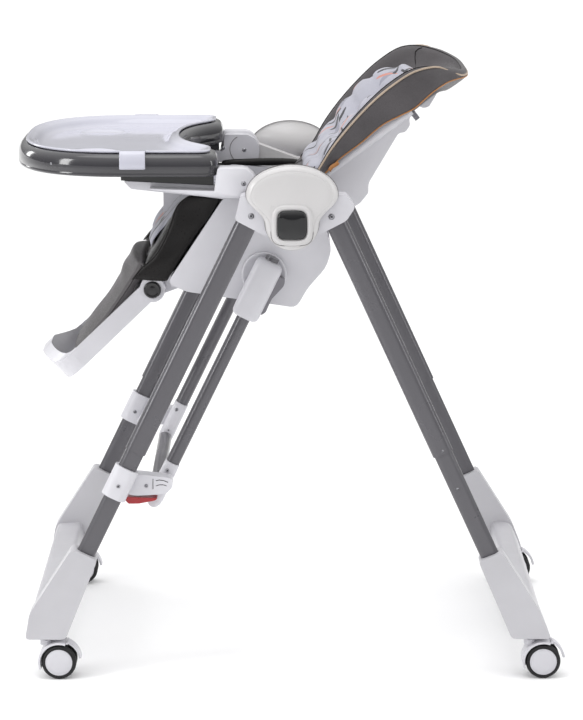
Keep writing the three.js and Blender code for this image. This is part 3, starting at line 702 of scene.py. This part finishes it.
def floor_marks():
    """Points of the insert's floor: rings round the cups, and a grid elsewhere."""
    marks = []
    for cx, cy, r in CUPS:
        for ring in (0.0, 0.45, 0.8, 0.92, 1.0, 1.08, 1.2):
            number = 1 if ring == 0 else 40
            for k in range(number):
                a = 2 * math.pi * k / number
                marks.append((cx + r * ring * math.cos(a), cy + r * ring * math.sin(a)))
    for gx in range(-180, 181, 12):
        for gy in range(-366, -160, 12):
            if all(math.hypot(gx - cx, gy - cy) > r * 1.35 for cx, cy, r in CUPS):
                marks.append((gx, gy))
    return marks


def cup_depth(x, y):
    depth = 0.0
    for cx, cy, r in CUPS:
        away = math.hypot(x - cx, y - cy) / r
        depth += 2.6 * (1 - smooth((away - 0.86) / 0.18)) - 0.35 * math.exp(-(((away - 1.1) / 0.05) ** 2))
    return depth


def tray_top():
    """The lift-off insert: a bright lip, sloping sides and a floor with two shallow cup rings."""
    rings = tray_rings(TRAY_LIP)
    floor_inset, floor_height = TRAY_LIP[-1]
    points, faces = loft(rings, capped=False)
    count = len(rings[0])
    faces.append(tuple(range(count)))
    start = len(points) - count
    loop = [(i, (i + 1) % count) for i in range(count)]
    flat = [Vector(p) for p in tray_outline(floor_inset) + floor_marks()]
    verts, _, tris, origin, _, _ = delaunay_2d_cdt(flat, loop, [], 1, 0.01)
    index = {}
    for i, v in enumerate(verts):
        if origin[i] and origin[i][0] < count:
            index[i] = start + origin[i][0]
            continue
        index[i] = len(points)
        points.append(at(v.x, v.y, floor_height - cup_depth(v.x, v.y)))
    faces.extend(tuple(index[i] for i in tri) for tri in tris)
    return points, faces


piece("tray_insert_top", *tray_top(), TRAY_WHITE, "insert", "tray_white", replaces=["tray_insert"])

TAB_PATH = [
    (229, 800.4), (233, 800.2), (236.4, 798.8), (239, 795.6), (240.8, 790.8), (241.7, 785), (241.9, 779),
    (241.9, 775.2),
]
TAB_RINGS = ((-254, -1.2), (-253.4, -0.3), (-251.6, 0), (-218.4, 0), (-216.6, -0.3), (-216, -1.2))


def tray_tab(s):
    """A tab of the insert that folds down over the tray's rim."""
    rings = []
    for y, grow in TAB_RINGS:
        top, under = [], []
        for i, (x, z) in enumerate(TAB_PATH):
            nxt = TAB_PATH[min(i + 1, len(TAB_PATH) - 1)]
            prv = TAB_PATH[max(i - 1, 0)]
            run = Vector((nxt[0] - prv[0], nxt[1] - prv[1])).normalized()
            shift = grow if i == len(TAB_PATH) - 1 else 0
            thick = 1.5 + grow * 0.5
            top.append(at(s * (x - run.y * thick), y, z + run.x * thick - shift))
            under.append(at(s * (x + run.y * 0.6), y, z - run.x * 0.6 - shift))
        rings.append(top + under[::-1])
    return loft(rings)


for side, s in SIDES:
    piece(f"tray_tab_{side}", *tray_tab(s), TRAY_WHITE, "insert", "tray_white")
    x = (TRAY_HALF - 0.4) * math.cos(0.62) ** TRAY_POWER
    y = TRAY_MIDDLE - (TRAY_MIDDLE - TRAY_FRONT) * math.sin(0.62) ** TRAY_POWER
    screw(f"tray_screw_{side}", at(s * x, y, 779), (s * 0.72, -0.7, 0), "tray", 1.6)

# ---------------------------------------------------------------- soft goods


CLOTH_STEPS = 18


def inflate(obj, voxel, pressure, cap, pinned=None):
    """Swells a closed padded piece by cloth simulation, then keeps the result in its mesh."""
    remesh = obj.modifiers.new("remesh", "REMESH")
    remesh.mode = "VOXEL"
    remesh.voxel_size = voxel
    bake(obj)
    start = [v.co.copy() for v in obj.data.vertices]
    cloth = obj.modifiers.new("cloth", "CLOTH").settings
    cloth.use_pressure = True
    cloth.uniform_pressure_force = pressure
    cloth.effector_weights.gravity = 0
    cloth.tension_stiffness = cloth.compression_stiffness = 12
    cloth.bending_stiffness = 1.5
    if pinned:
        group = obj.vertex_groups.new(name="pinned")
        for v in obj.data.vertices:
            weight = pinned(v.co)
            if weight > 0.01:
                group.add([v.index], weight, "REPLACE")
        cloth.vertex_group_mass = "pinned"
    scene = bpy.context.scene
    for number in range(1, CLOTH_STEPS + 1):
        scene.frame_set(number)
    bake(obj)
    scene.frame_set(1)
    for v, p in zip(obj.data.vertices, start):
        moved = v.co - p
        if moved.length > cap:
            v.co = p + moved * (cap / moved.length)
    return obj


def bake(obj):
    """Applies the modifiers to the mesh."""
    graph = bpy.context.evaluated_depsgraph_get()
    mesh = bpy.data.meshes.new_from_object(obj.evaluated_get(graph))
    obj.modifiers.clear()
    obj.data = mesh
    rounded(mesh)


def relax(obj, rounds):
    """Evens out the vertices, as a few passes of a smoothing brush would."""
    axes = {f"use_axis_{axis}": True for axis in "xyz"}
    for _ in range(rounds):
        reworked(obj, lambda work: bmesh.ops.smooth_vert(work, verts=work.verts, factor=0.5, **axes))


# The back cushion's heights above the back's face, by the place along the back: the crest of the
# wings and hood, their lower edge, and the floor between them.
RIM = [
    (-52, 7), (-30, 12), (0, 18), (40, 35), (75, 46), (110, 54), (150, 60), (180, 61), (203, 59),
    (219, 54), (235, 45), (249, 33), (260, 20), (268, 7), (273, -1),
]
SKIRT = [
    (-52, 3), (0, 8), (42, 15), (82, 15.5), (126, 18), (154, 13.5), (178, 9.5), (198, 11), (218, 12),
    (242, 9), (256, 2), (265, -5), (273, -12),
]
FLOOR = [(-60, 12), (198, 12), (222, 8), (245, 0), (262, -8), (273, -13)]


def back_plan(count=168):
    """The back's outline, (x, along) with outward directions, evenly spaced from its lower middle."""
    right = [(mix(0, 165, k / 8), -52) for k in range(8)]
    right += bezier((165, -52), (181, -20), (BACK_HALF, 22), (BACK_HALF, 70), 16)
    right += [(BACK_HALF, mix(70, HOOD_START, k / 10)) for k in range(10)]
    for k in range(40):
        a = math.pi / 2 * (k / 40) ** 1.4
        along = HOOD_START + HOOD_DEPTH * math.sin(a) ** HOOD_POWER
        right.append((BACK_HALF * math.cos(a) ** HOOD_POWER, along))
    left = [(-x, y) for x, y in reversed(right[1:])]
    line = [Vector(p) for p in right + [(0, HOOD_START + HOOD_DEPTH)] + left]
    lengths = [0.0]
    for i in range(len(line)):
        lengths.append(lengths[-1] + (line[(i + 1) % len(line)] - line[i]).length)
    made = []
    for k in range(count):
        want = lengths[-1] * k / count
        i = max(j for j in range(len(line)) if lengths[j] <= want)
        share = (want - lengths[i]) / (lengths[i + 1] - lengths[i])
        made.append(line[i].lerp(line[(i + 1) % len(line)], share))
    runs = [made[(k + 1) % count] - made[k - 1] for k in range(count)]
    return made, [Vector((run.y, -run.x)).normalized() for run in runs]


PLAN, OUTWARD = back_plan()


def back_ring(inset, low, high, share, lift):
    """One ring of the cushion: its inset, and its height between two of the four levels."""
    ring = []
    for p, m in zip(PLAN, OUTWARD):
        rim, skirt = through(RIM, p.y), through(SKIRT, p.y)
        wall = min(1.0, max(0.25, (rim - skirt) / 26))
        inner = p - m * inset * (wall if 0 < inset < 30 else 1)
        if inset > 50:
            centre = Vector((0, 100))
            inner = centre + (p - centre) * (1 - inset / BACK_HALF)
        floor = through(FLOOR, inner.y)
        levels = (min(0.6, floor - 5), skirt, rim, floor)
        ring.append(on_back(inner.x, inner.y, mix(levels[low], levels[high], share) + lift))
    return ring


UNDER, EDGE, CREST, BED = range(4)
SECTION = (  # inset from the outline, two levels, the share between them, lift
    (189, UNDER, UNDER, 0, 0), (70, UNDER, UNDER, 0, 0), (40, UNDER, UNDER, 0, 0),
    (37.8, UNDER, EDGE, 0.8, -1.2), (34, EDGE, EDGE, 0, -1.5), (12, EDGE, EDGE, 0, -1.3),
    (2.6, EDGE, EDGE, 0, -0.6), (0.6, EDGE, EDGE, 0, 0.8), (-0.6, EDGE, CREST, 0.16, 1),
    (-2.4, EDGE, CREST, 0.4, 0), (-2.2, EDGE, CREST, 0.66, 0), (-0.4, EDGE, CREST, 0.88, 0),
    (3, CREST, CREST, 0, -0.5), (8, CREST, CREST, 0, 0.6), (13.5, CREST, CREST, 0, -1),
    (18.5, BED, CREST, 0.82, 0), (24, BED, CREST, 0.55, 0), (32, BED, CREST, 0.25, 0),
    (44, BED, CREST, 0.06, 0), (75, BED, BED, 0, 0), (130, BED, BED, 0, 0), (189, BED, BED, 0, 0),
)
shell_rings = [back_ring(*row) for row in SECTION]
for ring_number in (8, 9, 10):
    for k, p in enumerate(PLAN):
        gather = math.sin(p.y * 0.33 + 1.7 * math.sin(p.y * 0.07)) * math.exp(-(((p.y - 60) / 45) ** 2))
        shell_rings[ring_number][k] += Vector((math.copysign(1, p.x) * gather * 0.0011, 0, 0))
cushion = piece(
    "back_wings", *loft(shell_rings), GREY_LEATHER, "backrest", "grey_leatherette", 1, ["back_cushion"]
)


def rim_line(first, share, out, up, dive=0.0):
    """A line round the cushion between two of its rings, lifted off its face.

    dive takes the line down to the lower edge round the hood's end.
    """
    line = []
    for k, (p, m) in enumerate(zip(PLAN, OUTWARD)):
        if p.y < -30:
            continue
        place = shell_rings[first][k].lerp(shell_rings[first + 1][k], share)
        place = place.lerp(shell_rings[7][k], dive * smooth((p.y - 240) / 26))
        line.append(place + on_back(m.x * out, m.y * out, up) - on_back(0, 0, 0))
    return line


piece("rim_piping", *tube(rim_line(11, 0.3, 1, 0, dive=0.85), 0.0015, 10), PIPING, "backrest")
piece("rim_seam", *tube(rim_line(12, 0.8, 0, 0.3), 0.0007, 6), THREAD, "backrest")
piece("skirt_piping", *tube(rim_line(6, 0.5, 0.3, -0.2), 0.0009, 8), TAN, "backrest")


def surface_line(marks, lift, count=40):
    """A line over the cushion's inside through (outline index, ring number) marks."""
    line = []
    for k in range(count + 1):
        t = k / count * (len(marks) - 1)
        i = min(int(t), len(marks) - 2)
        u = mix(marks[i][0], marks[i + 1][0], t - i)
        v = mix(marks[i][1], marks[i + 1][1], t - i)
        u0, v0 = int(u), min(int(v), len(shell_rings) - 2)
        corners = [shell_rings[v0 + b][(u0 + a) % len(PLAN)] for a, b in ((0, 0), (1, 0), (0, 1), (1, 1))]
        p = corners[0].lerp(corners[1], u - u0).lerp(corners[2].lerp(corners[3], u - u0), v - v0)
        line.append(p + (on_back(0, 0, lift) - on_back(0, 0, 0)))
    return line


def outline_index(x, s):
    return min(range(len(PLAN)), key=lambda k: (PLAN[k] - Vector((x, s))).length)


for side, s in SIDES:
    top = outline_index(s * 173, 243)
    foot = outline_index(s * 187, 212)
    marks = [(top, 13.5), (mix(top, foot, 0.35), 15), (mix(top, foot, 0.7), 17), (foot, 19)]
    piece(f"hood_seam_{side}", *tube(surface_line(marks, 0.25), 0.0008, 6), THREAD, "backrest")


def shell_collar():
    """A white band that carries the shell's sides up to the wings' lower edges."""
    bands = {1: [], -1: []}
    for p, m in zip(PLAN, OUTWARD):
        if -30 < p.y < 172:
            inner, edge, top = p - m * 37.5, p - m * 33.5, through(SKIRT, p.y) - 2.2
            corners = ((inner, -0.5), (edge, -0.5), (edge, top), (inner, top))
            bands[1 if p.x > 0 else -1].append([on_back(q.x, q.y, n) for q, n in corners])
    return joined(*(loft(band) for band in bands.values()))


piece("shell_collar", *shell_collar(), WHITE, "backrest", "white_plastic")

STRAP_SECTION = ((189.4, -3), (191.6, -2.6), (191.6, 2.6), (189.4, 3))
for side, s in SIDES:
    clip = []
    for n in (-15, -14.4, -4, 0.5):
        clip.append([on_back(s * (120 + 3 * x), 170.6 + 4 * y, n) for x, y in rounded_square(1, 4)])
    piece(f"back_clip_{side}", *loft(clip), TRIGGER, "backrest")
    strap = []
    for k in range(7):
        a, b = mix(22, 40, k / 6), mix(10.5, 13.5, k / 6) + 1.2 * math.sin(k * 0.9)
        strap.append([on_back(s * x, a, b + n) for x, n in STRAP_SECTION])
    piece(f"strap_end_{side}", *loft(strap), TAN, "backrest")

# Back liner: a padded cloth with sewn channels across it.
LINER_SIDE = [(-24, 20), (0, 27), (40, 35), (95, 54), (138, 60), (160, 57), (192, 45), (204, 34), (212, 20)]
LINER_HALF = [(-22, 126), (20, 140), (70, 158), (150, 160), (178, 156), (198, 140), (210, 112), (214, 92)]
PUFFS = (8, 52, 96, 138, 176)


def puff_line(x, s, k):
    """How far a point lies from the k-th sewn channel, which bows towards the middle."""
    return s - (PUFFS[k] + 9 * (abs(x) / 150) ** 1.5 + 3 * math.sin(x * 0.03 + k))


def liner_top(x, s, half):
    u = abs(x) / half
    centre = 25 + 4 * math.sin(max(0.0, min(1.0, (s + 20) / 234)) * math.pi)
    side = max(centre, through(LINER_SIDE, s))
    height = mix(centre, side, smooth((u - 0.3) / 0.52))
    swell = 0.0
    for k in range(len(PUFFS)):
        swell -= 8.5 * math.exp(-((puff_line(x, s, k) / 7) ** 2))
    wrinkle = 1.3 * math.sin(s * 0.42 + x * 0.11) * math.exp(-(((s - 196) / 22) ** 2))
    channel = 4.5 * math.exp(-(((u - 0.42) / 0.05) ** 2))
    return height + swell - channel + wrinkle + 2.2


def crown(u, power):
    """A pad's fullness across its width: 1 in the middle and 0 at the edges, where u is -1 or 1."""
    return (1 - abs(u) ** power) ** 0.5


def pad_ring(columns, face, back):
    """A ring across a pad: over its face from edge to edge, and home along its back."""
    across = [-math.cos(math.pi * c / columns) for c in range(columns + 1)]
    return [face(u) for u in across] + [back(u) for u in reversed(across[1:-1])]


def liner_mesh(rows=84, columns=56):
    rings = []
    for r in range(rows + 1):
        s = mix(-21, 213, r / rows)
        half = through(LINER_HALF, s)
        end = smooth(min(r, rows - r) / 4.5)

        def face(u):
            top = mix(15, liner_top(u * half, s, half), crown(u, 9))
            return on_back(u * half, s, mix(16, top, mix(0.25, 1, end)))

        rings.append(pad_ring(columns, face, lambda u: on_back(u * half * 0.985, s, 12.9)))
    return loft(rings)


def back_place(p):
    """(x, along, above) of a point in the back's own frame, in millimetres."""
    x, y, z = p.x * 1000, p.y * 1000 - 2.2 - 45, p.z * 1000 - 745
    c, s = math.cos(BACK_TILT), math.sin(BACK_TILT)
    return x, y * c + z * s, z * c - y * s


def liner_pins(p):
    x, s, n = back_place(p)
    if n < 15:
        return 1.0
    nearest = min(abs(puff_line(x, s, k)) for k in range(len(PUFFS)))
    across = abs(x) / through(LINER_HALF, s)
    return max(math.exp(-((nearest / 4) ** 2)), math.exp(-(((across - 0.42) / 0.03) ** 2)) * 0.8)


liner = piece("back_liner_pad", *liner_mesh(), BACK_PRINT, slot="printed_fabric")
inflate(liner, 0.0042, 4.0, 0.007, liner_pins)
painted(liner, BACK_PRINT)
relax(liner, 2)
finer(liner)
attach(liner, "backrest")
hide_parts("back_liner")

# Seat pad: its CAD solid, swollen.
pad = new_object("seat_pad_cover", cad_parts["seat_pad"].data.copy())
inflate(pad, 0.0048, 3.5, 0.003)
relax(pad, 5)
painted(pad, DARK_LEATHER)
finer(pad)
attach(pad, "seat")
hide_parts("seat_pad")

# Seat liner: over the seat and down its front edge, with a slot for the crotch post.
SEAT_PATH = [
    (-10, 670), (-24, 676), (-60, 690), (-108, 709), (-138, 712), (-160, 704), (-176, 690), (-194, 670),
    (-208, 652), (-214, 637),
]


def seat_liner_mesh(rows=60, columns=44):
    last = len(SEAT_PATH) - 1
    rings = []
    for r in range(rows + 1):
        t = r / rows * last
        y, z = path_point(SEAT_PATH, t)
        step = path_point(SEAT_PATH, min(t + 0.1, last)) - path_point(SEAT_PATH, max(t - 0.1, 0))
        out = Vector((step.y, -step.x)).normalized()
        if out.y < 0 and t < 5:
            out = -out
        half = mix(138, 112, smooth((t - 5) / 4))
        end = smooth(min(r, rows - r) / 4)
        puff = 1.5 * abs(math.sin(t * 1.45)) ** 0.6

        def face(u):
            groove = 3.2 * math.exp(-(((abs(u) - 0.5) / 0.04) ** 2))
            slot = 1 - math.exp(-((u * half / 22) ** 4)) if t > 4.6 else 1
            lift = mix(0.8, (7.5 + puff - groove) * mix(0.45, 1, slot), crown(u, 7) * end)
            return at(u * half, y + out.x * lift, z + out.y * lift)

        rings.append(pad_ring(columns, face, lambda u: at(u * half * 0.98, y, z)))
    return loft(rings)


seat_cover = piece(
    "seat_liner_pad", *seat_liner_mesh(), SEAT_PRINT, "seat", "printed_fabric", 1, ["seat_liner"]
)

# Side skirts of the seat pad, flaring out over the footrest's hinge.
SKIRT_FRONT = [
    (-150, 730), (-164, 721), (-174, 709), (-183, 683), (-193, 659), (-207, 636), (-227, 618),
    (-241, 601),
]
SKIRT_REAR = [
    (-105, 728), (-110, 717), (-123, 695), (-136, 679), (-148, 662), (-162, 641), (-175, 620),
    (-188, 597),
]


def skirt_mesh(s, rows=56, columns=20):
    rings, edge = [], []
    for r in range(rows + 1):
        t = r / rows * (len(SKIRT_FRONT) - 1)
        front, rear = path_point(SKIRT_FRONT, t), path_point(SKIRT_REAR, t)
        end = smooth(min(r, rows - r) / 3)

        def face(u):
            swell = 4.2 * crown(u, 6) + (1.6 + 0.5 * math.sin(t * 2.6 + u)) * (1 - u * u)
            return at(s * (184 + swell * end), *front.lerp(rear, (u + 1) / 2))

        def back(u):
            return at(s * (184 - 8 * end), *front.lerp(rear, (u + 1) / 2))

        edge.append(at(s * 186.6, *front.lerp(rear, 0.02)))
        rings.append(pad_ring(columns, face, back))
    return loft(rings), edge


for side, s in SIDES:
    (points, faces), edge = skirt_mesh(s)
    skirt = piece(f"seat_skirt_{side}", points, faces, DARK_LEATHER, "seat", "dark_leatherette", 1)
    piece(f"skirt_binding_{side}", *tube(edge, 0.0012, 8), DARK_LEATHER, "seat", "dark_leatherette")

# Leather folded over the tub's top edges.
FOLD_HEIGHT = [(0, 726), (4, 729), (18, 730), (24, 722)]
for side, s in SIDES:
    edge = []
    for k in range(25):
        edge.append(at(s * (180 - 3 * smooth(k / 6)), mix(-112, 36, k / 24), through(FOLD_HEIGHT, k)))
    fold = piece(f"tub_fold_{side}", *tube(edge, 0.0065, 12), DARK_LEATHER, "seat", "dark_leatherette", 1)

# Calf pad: thin in the footrest's tray, thick where it bends over the hinge to the seat. Its
# heights are above the footrest, along its middle, along its edges and underneath.
CALF_MIDDLE = [
    (-171, 4), (-166, 11), (-158, 16), (-140, 20.5), (-112, 26), (-76, 31), (-43, 40), (-18, 50),
    (4, 56), (18, 55),
]
CALF_EDGE = [
    (-171, 2), (-166, 7), (-156, 11.5), (-126, 14.5), (-84, 18.6), (-59, 23), (-17, 32), (6, 38),
    (18, 39),
]
CALF_UNDER = [(-171, -5), (-44, -5), (-30, 12), (-18, 20), (18, 24)]


def calf_half(y):
    return through([(-171, 80), (-166, 94), (-158, 104), (-148, 109.6), (-100, 109.8), (20, 109.8)], y)


def calf_mesh(rows=64, columns=40):
    rings, piping = [], {"left": [], "right": []}
    for r in range(rows + 1):
        y = mix(-171, 18, r / rows)
        half = calf_half(y)
        full = mix(0.35, 1, smooth(min(r, rows - r) / 3))
        middle, edge, under = through(CALF_MIDDLE, y), through(CALF_EDGE, y), through(CALF_UNDER, y)
        fold = 1.2 * math.sin(y * 0.19) * smooth((y + 60) / 40)
        body = (middle + under) / 2

        def face(u, wide=1, proud=0):
            top = mix(middle + fold, edge, abs(u) ** 2.4)
            top = mix(body, mix(top, edge - 5, smooth((abs(u) - 0.965) / 0.035)), full)
            return on_footrest(u * half * wide, y, top + proud)

        def back(u):
            return on_footrest(u * half * 0.985, y, mix(body, under, full))

        for side, s in SIDES:
            piping[side].append(face(s * math.cos(math.pi * 2 / columns), 1.003, 0.7))
        rings.append(pad_ring(columns, face, back))
    return rings, piping


calf_rings, calf_piping = calf_mesh()
calf = piece(
    "calf_pad_cover", *loft(calf_rings), GREY_LEATHER, "footrest", "grey_leatherette", 1, ["calf_pad"]
)
for side, line in calf_piping.items():
    piece(f"calf_piping_{side}", *tube(line[3:-2], 0.0011, 8), GREY_LEATHER, "footrest")

PIVOT_DOME = [(12.6, -9), (12.8, -1.2), (12.2, 0), (10.4, 0.7), (9.8, 0.3), (6, 0.9), (0.3, 1.3)]
for side, s in SIDES:
    button = f"footrest_button_{side}"
    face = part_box(button)
    middle = (face[0] + face[1]) / 2
    middle.x = outer(button, s) * 0.001
    dome = turned([(a, b * s) for a, b in PIVOT_DOME], middle, (1, 0, 0), 40)
    piece(f"pivot_cap_{side}", *dome, BLACK, button, "gloss_black", replaces=[button])

# ---------------------------------------------------------------- stage

FLOOR_HALF = 60
floor_mesh = bpy.data.meshes.new("floor")
corners = [(a * FLOOR_HALF, b * FLOOR_HALF, 0) for a, b in ((-1, -1), (1, -1), (1, 1), (-1, 1))]
floor_mesh.from_pydata(corners, [], [(0, 1, 2, 3)])
floor = new_object("floor", floor_mesh)
floor_look = Nodes("floor_paint")
paper = floor_look.remap(floor_look.noise(3, 2), 0.3, 0.7, 0.0, 1.0)
paper = floor_look.blend(paper, (0.93, 0.93, 0.935), (0.94, 0.94, 0.94))
floor_mesh.materials.append(floor_look.finish(paper, 0.55, Specular_IOR_Level=0.2))

SKY_LOW, SKY_HIGH = 0.24, 1.72  # light from the horizon and from overhead
world = bpy.data.worlds.new("studio")
bpy.context.scene.world = world
world.use_nodes = True
sky = world.node_tree.nodes
compass = sky.new("ShaderNodeTexCoord")
split = sky.new("ShaderNodeSeparateXYZ")
climb = sky.new("ShaderNodeMapRange")
world.node_tree.links.new(compass.outputs["Generated"], split.inputs[0])
world.node_tree.links.new(split.outputs["Z"], climb.inputs["Value"])
world.node_tree.links.new(climb.outputs[0], sky["Background"].inputs["Strength"])
climb.inputs["To Min"].default_value = SKY_LOW
climb.inputs["To Max"].default_value = SKY_HIGH
sky["Background"].inputs["Color"].default_value = (1, 1, 1, 1)


def lamp(name, place, target, size, power):
    data = bpy.data.lights.new(name, "AREA")
    data.shape = "RECTANGLE"
    data.size, data.size_y = size
    data.energy = power
    o = new_object(name, data)
    o.location = place
    o.rotation_euler = (Vector(target) - Vector(place)).to_track_quat("-Z", "Y").to_euler()


lamp("overhead", (0.5, -0.5, 2.9), (0, 0, 0.5), (1.4, 1.4), 10)
lamp("front_box", (1.3, -2.4, 1.5), (0, -0.1, 0.6), (0.6, 1.4), 26)
lamp("edge_box", (-1.6, -2.2, 1.3), (0, -0.3, 0.75), (0.4, 0.9), 7)
lamp("rear_box", (0.9, 2.4, 1.4), (0, 0.1, 0.6), (0.35, 1.5), 9)

# ---------------------------------------------------------------- camera

camera_data = bpy.data.cameras.new("camera")
camera_data.sensor_fit = "VERTICAL"
camera_data.sensor_height = 36
camera_data.lens = 137.25
camera_data.clip_end = 200
camera = new_object("camera", camera_data)
camera.location = (4.254, -0.0208, 1.324)
camera.rotation_euler = Vector((-0.9790, 0.00547, -0.2038)).to_track_quat("-Z", "Y").to_euler()
bpy.context.scene.camera = camera
bpy.context.scene.view_settings.view_transform = "Standard"
